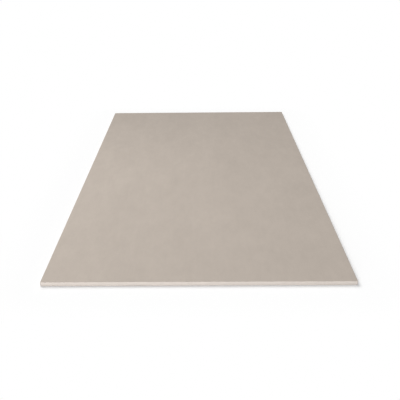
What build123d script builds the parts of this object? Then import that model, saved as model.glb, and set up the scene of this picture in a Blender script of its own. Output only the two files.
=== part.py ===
"""Drywall sheet with square edges: a gypsum core between two liner papers, lying flat with its face up.

The face paper covers the face, folds down both long edges and returns a short way under the back.
The back paper closes the back and laps over those returns, so a strip of each return stays bare along the edge.
Both ends are square cuts that show the core.

X runs across the sheet, Y along it and Z up out of the face. The origin is at the middle of the back.
"""

import os

from build123d import *

# Sheet, in millimetres
sheet_width = 1200.0
sheet_length = 2400.0
sheet_thickness = 16.0

# Liner papers
face_paper_thickness = 0.35
back_paper_thickness = 0.3

# Long edges: inside radius of the folds, and the two stretches of each return
fold_radius = 1.2
bare_return = 12.0
lapped_return = 14.0

# Places that the pieces share
half_width = sheet_width / 2
half_length = sheet_length / 2
return_tip = half_width - bare_return - lapped_return
return_level = back_paper_thickness

os.makedirs("parts", exist_ok=True)

# Face paper: a strip of even thickness, folded twice at each long edge
with BuildPart() as face_paper:
    with BuildSketch(Plane.XZ) as folded_strip:
        with BuildLine() as outer_side:
            FilletPolyline(
                (-return_tip, return_level),
                (-half_width, return_level),
                (-half_width, sheet_thickness),
                (half_width, sheet_thickness),
                (half_width, return_level),
                (return_tip, return_level),
                radius=fold_radius + face_paper_thickness,
            )
            offset(amount=face_paper_thickness, side=Side.RIGHT)
        make_face()
    extrude(amount=half_length, both=True)
face_paper.part.label = "face_paper"
export_step(face_paper.part, "parts/face_paper.step")

# Gypsum core: fills the folded paper, and stands down between the returns to meet the back paper
core_width = sheet_width - 2 * face_paper_thickness
core_bottom = return_level + face_paper_thickness
core_height = sheet_thickness - face_paper_thickness - core_bottom
with BuildPart() as gypsum_core:
    with BuildSketch(Plane.XZ) as core_section:
        with Locations((0, core_bottom)):
            RectangleRounded(core_width, core_height, fold_radius, align=(Align.CENTER, Align.MIN))
        with Locations((0, return_level)):
            Rectangle(2 * return_tip, face_paper_thickness, align=(Align.CENTER, Align.MIN))
    extrude(amount=half_length, both=True)
gypsum_core.part.label = "gypsum_core"
export_step(gypsum_core.part, "parts/gypsum_core.step")

# Back paper: flat strip that stops short of the long edges
back_paper_width = sheet_width - 2 * bare_return
with BuildPart() as back_paper:
    with BuildSketch(Plane.XY):
        Rectangle(back_paper_width, sheet_length)
    extrude(amount=back_paper_thickness)
back_paper.part.label = "back_paper"
export_step(back_paper.part, "parts/back_paper.step")
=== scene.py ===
"""Looks of a drywall sheet that lies flat with its face up, seen from in front of one cut end.

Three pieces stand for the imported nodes: the gypsum core with bubbles cut open in its ends, the face paper
folded round the long edges, and the back paper that laps over it. Both papers end in a knife cut.
All sizes are in metres.
"""

from itertools import product
from math import cos, pi, radians, sin

import bpy
import numpy as np
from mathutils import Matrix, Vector


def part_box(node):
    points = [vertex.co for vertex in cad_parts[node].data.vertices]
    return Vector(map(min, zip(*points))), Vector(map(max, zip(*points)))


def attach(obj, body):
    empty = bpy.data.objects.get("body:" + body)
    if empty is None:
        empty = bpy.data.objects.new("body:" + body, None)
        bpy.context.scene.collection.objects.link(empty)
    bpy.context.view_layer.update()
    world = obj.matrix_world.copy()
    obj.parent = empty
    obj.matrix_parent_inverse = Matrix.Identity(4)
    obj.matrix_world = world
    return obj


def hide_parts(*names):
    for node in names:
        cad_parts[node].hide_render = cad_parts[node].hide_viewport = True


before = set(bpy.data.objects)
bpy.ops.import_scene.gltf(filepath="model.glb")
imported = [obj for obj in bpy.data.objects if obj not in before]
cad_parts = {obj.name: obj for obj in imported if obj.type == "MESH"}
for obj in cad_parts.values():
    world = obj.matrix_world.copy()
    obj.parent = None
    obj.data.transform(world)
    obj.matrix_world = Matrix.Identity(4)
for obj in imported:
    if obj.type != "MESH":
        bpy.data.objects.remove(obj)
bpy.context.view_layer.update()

# Sizes of the sheet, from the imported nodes
face_low, face_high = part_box("face_paper")
core_low, core_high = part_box("gypsum_core")
back_low, back_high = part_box("back_paper")
half_width = face_high.x
half_length = face_high.y
face_level = face_high.z
return_level = face_low.z
face_paper_thickness = face_high.z - core_high.z

# Sizes that the boxes don't give, as in the CAD source
fold_radius = 0.0012
return_tip = 0.574

# Where the core's rounded corners start, from the middle of the sheet
core_corner = half_width - face_paper_thickness - fold_radius

# Grid over a cut end of the core: column width, rows, points of a corner, and gap beside a return's tip
cut_column_step = 0.00066
cut_rows = 22
corner_points = 7
tip_gap = 1e-6

# Grain of the cut plaster
grain_depth = 0.00012
grain_cell = 0.0022

# Bubbles in the cut plaster: size of the cells they lie in, share of cells that hold one, and largest radius
small_bubbles = {"cell": 0.0028, "share": 0.55, "radius": 0.0011}
large_bubbles = {"cell": 0.0105, "share": 0.4, "radius": 0.0017}

# Range of a bubble's size as a share of that radius, and of its centre's height as a share of its size
bubble_sizes = (0.45, 1)
bubble_heights = (0.1, 0.7)

# Skin of the plaster beside the papers, in which the bubbles fade out
dense_skin = 0.002

# Crumbled edges of the cut plaster: depth, reach from the paper, and size and excess of the chips
edge_crumble = 0.00018
edge_crumble_reach = 0.0011
chip_cell = 0.006
chip_excess = 0.15

# Points of the papers' sections: step along the flats, and points of a fold, a return and a long edge
paper_point_step = 0.002
fold_points = 9
return_points = 12
edge_points = 8

# Cut ends of the papers: distances from the cut that have points, reach of its marks, cells of its noise
cut_steps = np.array([0, 0.0004, 0.0009, 0.0018, 0.004, 0.012, 0.05, 0.2, 0.6])
cut_reach = 0.0012
coarse_cell = 0.011
fine_cell = 0.0032

# Ragged cut: how far it stands back, and how much of that is even, coarse and fine
ragged_depth = 0.0003
ragged_even = 0.4
ragged_coarse = 0.35
ragged_fine = 0.45

# Pressed-in cut: share of the paper's thickness, and how much of that is even and coarse
crushed_share = 0.35
crushed_even = 0.75
crushed_coarse = 0.25

# Seeds of the random draws, far enough apart that no two surfaces share one
near_end_seed = 11
far_end_seed = 31
face_paper_seed = 51
back_paper_seed = 71

# Angles from which an edge of a mesh stays sharp, in degrees
plaster_crease = 50
paper_crease = 35

# Colours of the pieces, as linear red, green and blue
face_paper_grey = (0.5, 0.4395, 0.385)
gypsum_cream = (0.78, 0.708, 0.65)
back_paper_brown = (0.352, 0.296, 0.231)

# Fibres in the papers: colour, share of the paper's colour, features per metre along each axis, and turn
face_dark_fibres = {"fibre": (0.30, 0.25, 0.21, 1), "share": 0.35, "stretch": (900, 170, 900), "turn": 24}
face_pale_fibres = {"fibre": (0.66, 0.61, 0.55, 1), "share": 0.4, "stretch": (800, 150, 800), "turn": -31}
back_dark_fibres = {"fibre": (0.19, 0.15, 0.11, 1), "share": 0.5, "stretch": (700, 130, 700), "turn": 20}
back_pale_fibres = {"fibre": (0.52, 0.46, 0.38, 1), "share": 0.5, "stretch": (640, 120, 640), "turn": -28}

# Noise levels between which fibres fade in, on the face and on the back
face_fibre_levels = (0.68, 0.78)
back_fibre_levels = (0.64, 0.76)

# Scuffs on the folds: colour, reach from a fold, where they are full, noise levels, and share of the colour
scuffed_grey = (0.66, 0.61, 0.55, 1)
scuff_reach = 0.0026
scuff_full = scuff_reach / 3
scuff_levels = (0.5, 0.68)
scuff_share = 0.55

# Clouds of the face paper: their stretch, and the place in the noise at which they fall as in the photograph
cloud_stretch = (1, 0.42, 1)
cloud_place = (11.8, -4.3, -28.5)

# Darker plaster beside each long edge, partly the denser hard edge and partly painted shade in the corners of
# the cut end: where it starts and where it is full, from the long edge, and how dark it gets
hard_edge_shade_start = 0.005
hard_edge_shade_full = 0.001
hard_edge_shade_tone = 0.75

# Relief of the papers' formation, as a share of the relief of their tooth
face_formation_relief = 0.6
back_formation_relief = 0.8

# Gloss of paper and plaster, as the specular level of the shader
matte_gloss = 0.05

# Noise levels between which a finish goes from its first roughness to its second
roughness_levels = (0.3, 0.7)

# Camera, from the four corners of the face in the photograph
camera_place = (0.006, -3.3065, 1.2466)
camera_turn = (66.97, 0.623, 0.6506)
camera_lens = 57.783
camera_shift = 0.0245

# Studio: a wide soft sun, turned to the left from straight behind the sheet, and an even sky
sun_bearing = 24.0
sun_height = 43.0
sun_spread = 40.0
sun_strength = 2.492
sky_strength = 0.2145

# Square lamps: place, point that it faces, side length and power of each
lamps = {
    "left_lamp": ((-1.28, -0.23, 1.58), (-0.5, -0.1, 0.0), 1.2, 9.1),
    "front_lamp": ((-0.68, -4.84, 0.9), (0.0, -1.0, 0.0), 1.6, 82.0),
}

# Middles of the squares into which a lamp is divided to work out its light, as shares of its side
lamp_shares = (-1 / 3, 0, 1 / 3)

# Floor: how pale it is, how bright it looks where nothing shades it, and where it fades into plain white
floor_level = -0.0001
floor_reach = 40.0
floor_white = 0.8
floor_brightness = 0.99
floor_fade = (0.05, 0.25)


def ease(t):
    """Smooth step from 0 to 1: three t squared less two t cubed."""
    return t * t * (3 - 2 * t)


def value_noise(u, v, cell, seed):
    """Random heights from -1 to 1 on a square lattice, eased between the four corners of each cell."""
    lattice_u = (u - u.min()) / cell
    lattice_v = (v - v.min()) / cell
    column = lattice_u.astype(int)
    row = lattice_v.astype(int)
    heights = np.random.default_rng(seed).uniform(-1, 1, (column.max() + 2, row.max() + 2))
    share_u = ease(lattice_u - column)
    share_v = ease(lattice_v - row)
    lower = heights[column, row] * (1 - share_u) + heights[column + 1, row] * share_u
    upper = heights[column, row + 1] * (1 - share_u) + heights[column + 1, row + 1] * share_u
    return lower * (1 - share_v) + upper * share_v


def cut_bubbles(u, v, seed, cell, share, radius):
    """Depth of spheres cut open by a plane: root of radius squared less distance squared, less centre height.

    A share of the lattice cells holds one sphere each, at a random place in its cell. The deepest one counts.
    """
    random = np.random.default_rng(seed)
    column = ((u - u.min()) / cell).astype(int) + 1
    row = ((v - v.min()) / cell).astype(int) + 1
    shape = (column.max() + 2, row.max() + 2)
    centre_u = u.min() + (np.arange(shape[0])[:, None] - 1 + random.random(shape)) * cell
    centre_v = v.min() + (np.arange(shape[1])[None, :] - 1 + random.random(shape)) * cell
    size = radius * random.uniform(*bubble_sizes, shape) * (random.random(shape) < share)
    height = size * random.uniform(*bubble_heights, shape)
    depth = np.zeros(u.shape)
    for across, along in product((-1, 0, 1), repeat=2):
        place = (column + across, row + along)
        apart = (u - centre_u[place]) ** 2 + (v - centre_v[place]) ** 2
        sphere = np.sqrt(np.clip(size[place] ** 2 - apart, 0, None))
        depth = np.maximum(depth, sphere - height[place])
    return depth


def add_piece(name, points, quads, node, slot, material, sharp_from):
    """One closed mesh at the origin, shaded smooth up to that angle, which stands for a CAD node."""
    mesh = bpy.data.meshes.new(name)
    mesh.from_pydata(points, [], quads)
    mesh.shade_smooth()
    mesh.set_sharp_from_angle(angle=radians(sharp_from))
    mesh.materials.append(material)
    piece = bpy.data.objects.new(name, mesh)
    bpy.context.scene.collection.objects.link(piece)
    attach(piece, "root")
    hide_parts(node)


def core_columns():
    """Places across the core: even steps with a tiny gap at each return's tip, and the corners by angle."""
    inner_count = round(return_tip / cut_column_step)
    outer_count = round((core_corner - return_tip) / cut_column_step)
    inner = np.linspace(0, return_tip - tip_gap, inner_count)
    outer = np.linspace(return_tip + tip_gap, core_corner, outer_count)
    rounded = core_corner + fold_radius * np.sin(np.linspace(0, np.pi / 2, corner_points)[1:])
    right = np.concatenate([inner, outer, rounded])
    return np.concatenate([-right[:0:-1], right])


def cut_depth(x, z, lower, upper, seed):
    """How far a point of a cut end stands back: the deeper of grain and bubbles, plus a crumbled edge.

    The bubbles grow from nothing at the paper to their full depth inside the dense skin. The edge crumbles
    where a coarse noise is high, and the crumbling fades away from the paper as an exponential.
    """
    grain = grain_depth * (1 + value_noise(x, z, grain_cell, seed))
    small = cut_bubbles(x, z, seed + 1, **small_bubbles)
    large = cut_bubbles(x, z, seed + 2, **large_bubbles)
    from_edge = np.minimum(z - lower, upper - z)
    bubbles = np.maximum(small, large) * ease(np.clip(from_edge / dense_skin, 0, 1))
    chipped = np.clip(value_noise(x, z, chip_cell, seed + 3) + chip_excess, 0, 1)
    crumbled = edge_crumble * chipped * np.exp(-from_edge / edge_crumble_reach)
    return np.maximum(grain, bubbles) + crumbled


def cast_core():
    """Points and quads of the core: a grid over each cut end, and the section carried from one to the other.

    A grid point is x by z, with z in even shares from the section's lower line to its upper one. Both lines
    follow a quarter circle at the corners: radius less the root of radius squared less the overrun squared.
    """
    across = core_columns()
    overrun = np.clip(np.abs(across) - core_corner, 0, fold_radius)
    rounding = fold_radius - np.sqrt(fold_radius**2 - overrun**2)
    step_up = np.where(np.abs(across) < return_tip, 0, face_paper_thickness)
    lower = (core_low.z + step_up + rounding)[:, None]
    upper = (core_high.z - rounding)[:, None]
    shares = np.linspace(0, 1, cut_rows)[None, :]
    z = lower + shares * (upper - lower)
    x = np.broadcast_to(across[:, None], z.shape)
    near = np.stack([x, cut_depth(x, z, lower, upper, near_end_seed) - half_length, z], -1)
    far = np.stack([x, half_length - cut_depth(x, z, lower, upper, far_end_seed), z], -1)
    points = np.concatenate([near.reshape(-1, 3), far.reshape(-1, 3)])

    index = np.arange(x.size).reshape(x.shape)
    corners = [index[:-1, :-1], index[1:, :-1], index[1:, 1:], index[:-1, 1:]]
    near_quads = np.stack(corners, -1).reshape(-1, 4)
    far_quads = near_quads[:, ::-1] + x.size
    rim = np.concatenate([index[:, 0], index[-1, 1:], index[-2::-1, -1], index[0, -2:0:-1]])
    next_rim = np.roll(rim, -1)
    long_quads = np.stack([next_rim, rim, rim + x.size, next_rim + x.size], -1)
    return points, np.concatenate([near_quads, far_quads, long_quads])


def folded_line(inset):
    """The face paper's section as one line, moved inwards by inset.

    It goes along a return, a fold, the long edge, a fold and the face, and then the same way back, mirrored.
    Each fold is a quarter circle about the same centre, so lines of different inset have points that pair up.
    """
    outside = fold_radius + face_paper_thickness
    radius = outside - inset
    centre = half_width - outside
    low_centre = return_level + outside
    high_centre = face_level - outside
    turn = np.linspace(0, np.pi / 2, fold_points)
    under = np.linspace(return_tip, centre, return_points, endpoint=False)
    side = np.linspace(low_centre, high_centre, edge_points)[1:-1]
    across = np.linspace(-centre, centre, round(2 * centre / paper_point_step))[1:-1]
    half_x = np.concatenate([
        -under,
        -centre - radius * np.sin(turn),
        np.full(side.size, -half_width + inset),
        -centre - radius * np.cos(turn),
    ])
    half_z = np.concatenate([
        np.full(under.size, return_level + inset),
        low_centre - radius * np.cos(turn),
        side,
        high_centre + radius * np.sin(turn),
    ])
    x = np.concatenate([half_x, across, -half_x[::-1]])
    z = np.concatenate([half_z, np.full(across.size, face_level - inset), half_z[::-1]])
    return np.stack([x, z], -1)


def flat_line(level):
    """The back paper's section as one straight line at that level, from right to left."""
    x = np.linspace(back_high.x, back_low.x, round(2 * back_high.x / paper_point_step))
    return np.stack([x, np.full(x.size, level)], -1)


def liner_paper(outer, inner, seed):
    """Points and quads of a paper: its closed section carried along Y, with both ends cut ragged by a knife.

    Near a cut the outer line sinks towards the inner one, and the cut itself stands back by a noise along
    the line. Both fade away from the cut as exponentials.
    """
    count = len(outer)
    along = np.concatenate([[0], np.cumsum(np.hypot(*np.diff(outer, axis=0).T))])[None, :]
    from_cut = np.concatenate([cut_steps, cut_steps[::-1]])[:, None]
    end = np.repeat([-1.0, 1.0], cut_steps.size)[:, None]
    fade = np.exp(-from_cut / cut_reach)
    coarse = value_noise(along, end, coarse_cell, seed)
    fine = value_noise(along, end, fine_cell, seed + 1)
    ragged = np.clip(ragged_even + ragged_coarse * coarse + ragged_fine * fine, 0, 1)
    stand_back = ragged_depth * ragged * fade
    sink = crushed_share * (crushed_even + crushed_coarse * coarse) * fade
    line_y = end * (half_length - from_cut - stand_back)
    crushed = outer[None] + (inner - outer)[None] * sink[..., None]
    whole = np.broadcast_to(inner[None], crushed.shape)
    section = np.concatenate([crushed, whole[:, ::-1]], 1)
    y = np.concatenate([line_y, line_y[:, ::-1]], 1)
    points = np.stack([section[..., 0], y, section[..., 1]], -1)

    index = np.arange(y.size).reshape(y.shape)
    ring = np.roll(index, -1, 1)
    long_quads = np.stack([index[:-1], ring[:-1], ring[1:], index[1:]], -1).reshape(-1, 4)
    outside = np.arange(count - 1)
    inside = 2 * count - 1 - outside
    near_quads = np.stack([outside, inside, inside - 1, outside + 1], -1)
    far_quads = near_quads[:, ::-1] + index[-1, 0]
    return points.reshape(-1, 3), np.concatenate([long_quads, near_quads, far_quads])


def add_node(tree, kind, inputs, **settings):
    """Adds a shader node, sets its properties, and feeds each input from a value or another node's socket."""
    made = tree.nodes.new(kind)
    for name, value in settings.items():
        setattr(made, name, value)
    for name, value in inputs.items():
        if isinstance(value, bpy.types.NodeSocket):
            tree.links.new(value, made.inputs[name])
        else:
            made.inputs[name].default_value = value
    return made


def add_place(tree):
    """Object coordinates, which are metres in the sheet's own frame."""
    return add_node(tree, "ShaderNodeTexCoord", {}).outputs["Object"]


def add_noise(tree, scale, detail, stretch=(1, 1, 1), turn=0, start=(0, 0, 0), roughness=0.5):
    """Noise of scale times stretch features per metre along each axis, turned about Z and moved."""
    rotation = (0, 0, radians(turn))
    inputs = {"Vector": add_place(tree), "Location": start, "Rotation": rotation, "Scale": stretch}
    place = add_node(tree, "ShaderNodeMapping", inputs).outputs["Vector"]
    inputs = {"Vector": place, "Scale": scale, "Detail": detail, "Roughness": roughness}
    return add_node(tree, "ShaderNodeTexNoise", inputs).outputs["Fac"]


def add_math(tree, operation, *values):
    """One Math node on values or sockets."""
    return add_node(tree, "ShaderNodeMath", dict(enumerate(values)), operation=operation).outputs["Value"]


def add_vector_math(tree, operation, *values):
    """One Vector Math node on vectors or sockets."""
    return add_node(tree, "ShaderNodeVectorMath", dict(enumerate(values)), operation=operation)


def add_range(tree, value, low, high, to_low=0.0, to_high=1.0):
    """Maps low to high onto another range, eased and held at both ends."""
    inputs = {"Value": value, "From Min": low, "From Max": high, "To Min": to_low, "To Max": to_high}
    return add_node(tree, "ShaderNodeMapRange", inputs, interpolation_type="SMOOTHSTEP").outputs["Result"]


def add_tone(tree, layers):
    """A factor near 1: each layer of noise adds its strength times how far it is from a half."""
    tone = 1 - sum(strength for strength, noise in layers) / 2
    for strength, noise in layers:
        tone = add_math(tree, "MULTIPLY_ADD", noise, strength, tone)
    return tone


def add_mix(tree, share, first, second):
    """Blends two colours by a share. A Mix node keeps its colours in inputs 6 and 7 and in output 2."""
    return add_node(tree, "ShaderNodeMix", {0: share, 6: first, 7: second}, data_type="RGBA").outputs[2]


def scaled_colour(tree, colour, factor):
    """A colour times a factor."""
    inputs = {0: colour, "Scale": factor}
    return add_node(tree, "ShaderNodeVectorMath", inputs, operation="SCALE").outputs["Vector"]


def add_fibres(tree, under, levels, fibre, share, stretch, turn):
    """Fibres over the colour under them: long spots of a turned noise, which take up to that share of it."""
    noise = add_noise(tree, scale=1, detail=1, stretch=stretch, turn=turn)
    return add_mix(tree, add_range(tree, noise, *levels, 0, share), under, fibre)


def add_scuffs(tree):
    """Share of scuffed paper: patches along the folds, where a point is near a long edge and a flat side."""
    middle = (0, 0, (face_level + return_level) / 2)
    half_thickness = (face_level - return_level) / 2
    from_middle = add_vector_math(tree, "SUBTRACT", add_place(tree), middle).outputs["Vector"]
    folded = add_vector_math(tree, "ABSOLUTE", from_middle).outputs["Vector"]
    apart = add_node(tree, "ShaderNodeSeparateXYZ", {"Vector": folded}).outputs
    at_edge = add_range(tree, apart["X"], half_width - scuff_reach, half_width - scuff_full)
    at_side = add_range(tree, apart["Z"], half_thickness - scuff_reach, half_thickness - scuff_full)
    noise = add_noise(tree, scale=1, detail=4, stretch=(60, 26, 60), roughness=0.65)
    patches = add_range(tree, noise, *scuff_levels, 0, scuff_share)
    return add_math(tree, "MULTIPLY", add_math(tree, "MULTIPLY", at_edge, at_side), patches)


def matte_finish(name):
    """A new material and its Principled shader, with the low gloss of paper and plaster."""
    material = bpy.data.materials.new(name)
    material.use_nodes = True
    shader = material.node_tree.nodes["Principled BSDF"]
    shader.inputs["Specular IOR Level"].default_value = matte_gloss
    return material, material.node_tree, shader


def feed_shader(tree, shader, colour, noise, height, roughness, strength, depth):
    """Gives a shader its colour, a roughness that follows a noise, and a bump of that strength and depth."""
    rough = add_range(tree, noise, *roughness_levels, *roughness)
    bump = add_node(tree, "ShaderNodeBump", {"Strength": strength, "Distance": depth, "Height": height})
    tree.links.new(colour, shader.inputs["Base Color"])
    tree.links.new(rough, shader.inputs["Roughness"])
    tree.links.new(bump.outputs["Normal"], shader.inputs["Normal"])


def face_paper_finish():
    """Warm grey liner: clouds, faint streaks along the sheet, sparse fibres, scuffed folds, fine tooth."""
    material, tree, shader = matte_finish("face_liner_paper")
    clouds = add_noise(tree, scale=5, detail=2, stretch=cloud_stretch, start=cloud_place, roughness=0.7)
    blotches = add_noise(tree, scale=24, detail=3, stretch=cloud_stretch, roughness=0.7)
    formation = add_noise(tree, scale=210, detail=3)
    streaks = add_noise(tree, scale=1, detail=3, stretch=(70, 2.5, 70))
    tooth = add_noise(tree, scale=1, detail=3, stretch=(1100, 420, 1100))
    tone = add_tone(tree, [(0.13, clouds), (0.14, blotches), (0.05, formation), (0.03, streaks)])
    grey = scaled_colour(tree, face_paper_grey, tone)
    flecked = add_fibres(tree, grey, face_fibre_levels, **face_dark_fibres)
    fibred = add_fibres(tree, flecked, face_fibre_levels, **face_pale_fibres)
    scuffed = add_mix(tree, add_scuffs(tree), fibred, scuffed_grey)
    height = add_math(tree, "MULTIPLY_ADD", formation, face_formation_relief, tooth)
    feed_shader(tree, shader, scuffed, formation, height, roughness=(0.95, 0.8), strength=0.5, depth=0.0001)
    return material


def gypsum_finish():
    """Cream plaster: fine grain, soft blotches, faint upright saw marks, and a dark edge beside each fold
    that is partly the denser hard edge and partly painted shade.
    """
    material, tree, shader = matte_finish("cut_gypsum")
    blotches = add_noise(tree, scale=45, detail=3)
    grain = add_noise(tree, scale=900, detail=4)
    saw_marks = add_noise(tree, scale=1, detail=2, stretch=(420, 420, 25))
    tone = add_tone(tree, [(0.06, blotches), (0.1, grain), (0.05, saw_marks)])
    across = add_node(tree, "ShaderNodeSeparateXYZ", {"Vector": add_place(tree)}).outputs["X"]
    from_middle = add_math(tree, "ABSOLUTE", across)
    # Painted shade: the plaster gets darker towards each long edge, partly as the denser hard edge of the
    # board
    shaded_edge_start = half_width - hard_edge_shade_start
    shaded_edge_full = half_width - hard_edge_shade_full
    hard_edge_shade = add_range(tree, from_middle, shaded_edge_start, shaded_edge_full, 1, hard_edge_shade_tone)
    cream = scaled_colour(tree, gypsum_cream, add_math(tree, "MULTIPLY", tone, hard_edge_shade))
    feed_shader(tree, shader, cream, grain, grain, roughness=(1.0, 0.88), strength=0.6, depth=0.0002)
    return material


def back_paper_finish():
    """Grey-brown liner: coarser formation than the face, more fibres and a rougher tooth."""
    material, tree, shader = matte_finish("back_liner_paper")
    clouds = add_noise(tree, scale=7, detail=2)
    blotches = add_noise(tree, scale=40, detail=4)
    formation = add_noise(tree, scale=260, detail=4)
    streaks = add_noise(tree, scale=1, detail=3, stretch=(45, 2, 45))
    tooth = add_noise(tree, scale=1, detail=3, stretch=(800, 300, 800))
    tone = add_tone(tree, [(0.08, clouds), (0.12, blotches), (0.14, formation), (0.06, streaks)])
    brown = scaled_colour(tree, back_paper_brown, tone)
    flecked = add_fibres(tree, brown, back_fibre_levels, **back_dark_fibres)
    fibred = add_fibres(tree, flecked, back_fibre_levels, **back_pale_fibres)
    height = add_math(tree, "MULTIPLY_ADD", formation, back_formation_relief, tooth)
    feed_shader(tree, shader, fibred, formation, height, roughness=(1.0, 0.86), strength=0.7, depth=0.00014)
    return material


def seen_directly(tree):
    """1 for rays from the camera, a mirror or glass, and 0 for light that falls on things."""
    path = add_node(tree, "ShaderNodeLightPath", {}).outputs
    mirrored = add_math(tree, "MAXIMUM", path["Is Glossy Ray"], path["Is Transmission Ray"])
    return add_math(tree, "MAXIMUM", path["Is Camera Ray"], mirrored)


def open_floor_light(tree, place):
    """Light on the floor where nothing shades it, as a share of what a white sky would give.

    The sky gives its strength, and the sun its strength times the sine of its height over pi. Each square
    of a lamp gives its power times its height, times how far the point lies along the lamp's aim, over pi
    squared and the distance to the fourth.
    """
    light = sky_strength + sun_strength * sin(radians(sun_height)) / pi
    for lamp_place, target, side, power in lamps.values():
        aim = (Vector(target) - Vector(lamp_place)).normalized()
        turn = aim.to_track_quat("-Z", "Y")
        square_power = power / len(lamp_shares) ** 2
        for across, up in product(lamp_shares, repeat=2):
            square = Vector(lamp_place) + turn @ Vector((across * side, up * side, 0))
            offset = add_vector_math(tree, "SUBTRACT", place, square).outputs["Vector"]
            along = add_vector_math(tree, "DOT_PRODUCT", offset, aim).outputs["Value"]
            distance = add_vector_math(tree, "LENGTH", offset).outputs["Value"]
            spread = add_math(tree, "DIVIDE", along, add_math(tree, "POWER", distance, 4.0))
            light = add_math(tree, "MULTIPLY_ADD", spread, square_power * square.z / pi**2, light)
    return light


def white_floor_finish():
    """Pale paint that keeps the shadow beside the sheet and is plain white further out.

    Beside the sheet, what the open floor's light leaves short of its brightness is added for the camera.
    """
    material = bpy.data.materials.new("white_floor")
    material.use_nodes = True
    tree = material.node_tree
    tree.nodes.clear()
    place = add_place(tree)
    seen = seen_directly(tree)
    light = open_floor_light(tree, place)
    missing = add_math(tree, "MULTIPLY_ADD", light, -floor_white, floor_brightness)
    paint = add_node(tree, "ShaderNodeBsdfDiffuse", {"Color": (floor_white, floor_white, floor_white, 1)})
    lift = add_node(tree, "ShaderNodeEmission", {"Strength": add_math(tree, "MULTIPLY", missing, seen)})
    beside = add_node(tree, "ShaderNodeAddShader", {0: paint.outputs["BSDF"], 1: lift.outputs["Emission"]})
    folded = add_vector_math(tree, "ABSOLUTE", place).outputs["Vector"]
    outside = add_vector_math(tree, "SUBTRACT", folded, (half_width, half_length, 0)).outputs["Vector"]
    beyond = add_vector_math(tree, "MAXIMUM", outside, (0, 0, 0)).outputs["Vector"]
    away = add_vector_math(tree, "LENGTH", beyond).outputs["Value"]
    plain = add_math(tree, "MULTIPLY", add_range(tree, away, *floor_fade), seen)
    white = add_node(tree, "ShaderNodeEmission", {"Strength": 1.0})
    inputs = {0: plain, 1: beside.outputs["Shader"], 2: white.outputs["Emission"]}
    whole = add_node(tree, "ShaderNodeMixShader", inputs)
    add_node(tree, "ShaderNodeOutputMaterial", {"Surface": whole.outputs["Shader"]})
    return material


def white_floor():
    """A wide square just under the sheet."""
    reach = floor_reach
    corners = [(-reach, -reach), (reach, -reach), (reach, reach), (-reach, reach)]
    mesh = bpy.data.meshes.new("floor")
    mesh.from_pydata([(x, y, floor_level) for x, y in corners], [], [(0, 1, 2, 3)])
    mesh.materials.append(white_floor_finish())
    floor = bpy.data.objects.new("floor", mesh)
    bpy.context.scene.collection.objects.link(floor)


def even_sky():
    """An even sky that the camera sees as white."""
    world = bpy.data.worlds.new("studio_sky")
    world.use_nodes = True
    tree = world.node_tree
    tree.nodes.clear()
    sky = add_node(tree, "ShaderNodeBackground", {"Color": (1, 1, 1, 1), "Strength": sky_strength})
    white = add_node(tree, "ShaderNodeBackground", {"Color": (1, 1, 1, 1), "Strength": 1.0})
    inputs = {0: seen_directly(tree), 1: sky.outputs["Background"], 2: white.outputs["Background"]}
    both = add_node(tree, "ShaderNodeMixShader", inputs)
    add_node(tree, "ShaderNodeOutputWorld", {"Surface": both.outputs["Shader"]})
    bpy.context.scene.world = world


def soft_sun():
    """A sun at its bearing and height, wide enough for soft shadows."""
    bearing = radians(sun_bearing)
    height = radians(sun_height)
    sunward = Vector((-sin(bearing) * cos(height), cos(bearing) * cos(height), sin(height)))
    light = bpy.data.lights.new("soft_sun", "SUN")
    light.angle = radians(sun_spread)
    light.energy = sun_strength
    sun = bpy.data.objects.new("soft_sun", light)
    sun.rotation_euler = sunward.to_track_quat("Z", "Y").to_euler()
    bpy.context.scene.collection.objects.link(sun)


def square_lamps():
    """The square lamps, each turned to the point that it faces and hidden from the camera."""
    for name, (place, target, side, power) in lamps.items():
        light = bpy.data.lights.new(name, "AREA")
        light.shape = "SQUARE"
        light.size = side
        light.energy = power
        lamp = bpy.data.objects.new(name, light)
        lamp.location = place
        aim = Vector(target) - Vector(place)
        lamp.rotation_euler = aim.to_track_quat("-Z", "Y").to_euler()
        lamp.visible_camera = False
        bpy.context.scene.collection.objects.link(lamp)


def photograph_camera():
    """The camera at the photograph's viewing angle, with plain view settings."""
    scene = bpy.context.scene
    lens = bpy.data.cameras.new("camera")
    lens.lens = camera_lens
    lens.shift_x = camera_shift
    camera = bpy.data.objects.new("camera", lens)
    camera.location = camera_place
    camera.rotation_euler = [radians(angle) for angle in camera_turn]
    scene.collection.objects.link(camera)
    scene.camera = camera
    scene.view_settings.view_transform = "Standard"


add_piece("cast_core", *cast_core(), "gypsum_core", "gypsum", gypsum_finish(), plaster_crease)
add_piece(
    "folded_face_paper",
    *liner_paper(folded_line(0), folded_line(face_paper_thickness), face_paper_seed),
    "face_paper",
    "face_liner",
    face_paper_finish(),
    paper_crease,
)
add_piece(
    "flat_back_paper",
    *liner_paper(flat_line(back_low.z), flat_line(back_high.z), back_paper_seed),
    "back_paper",
    "back_liner",
    back_paper_finish(),
    paper_crease,
)
white_floor()
even_sky()
soft_sun()
square_lamps()
photograph_camera()
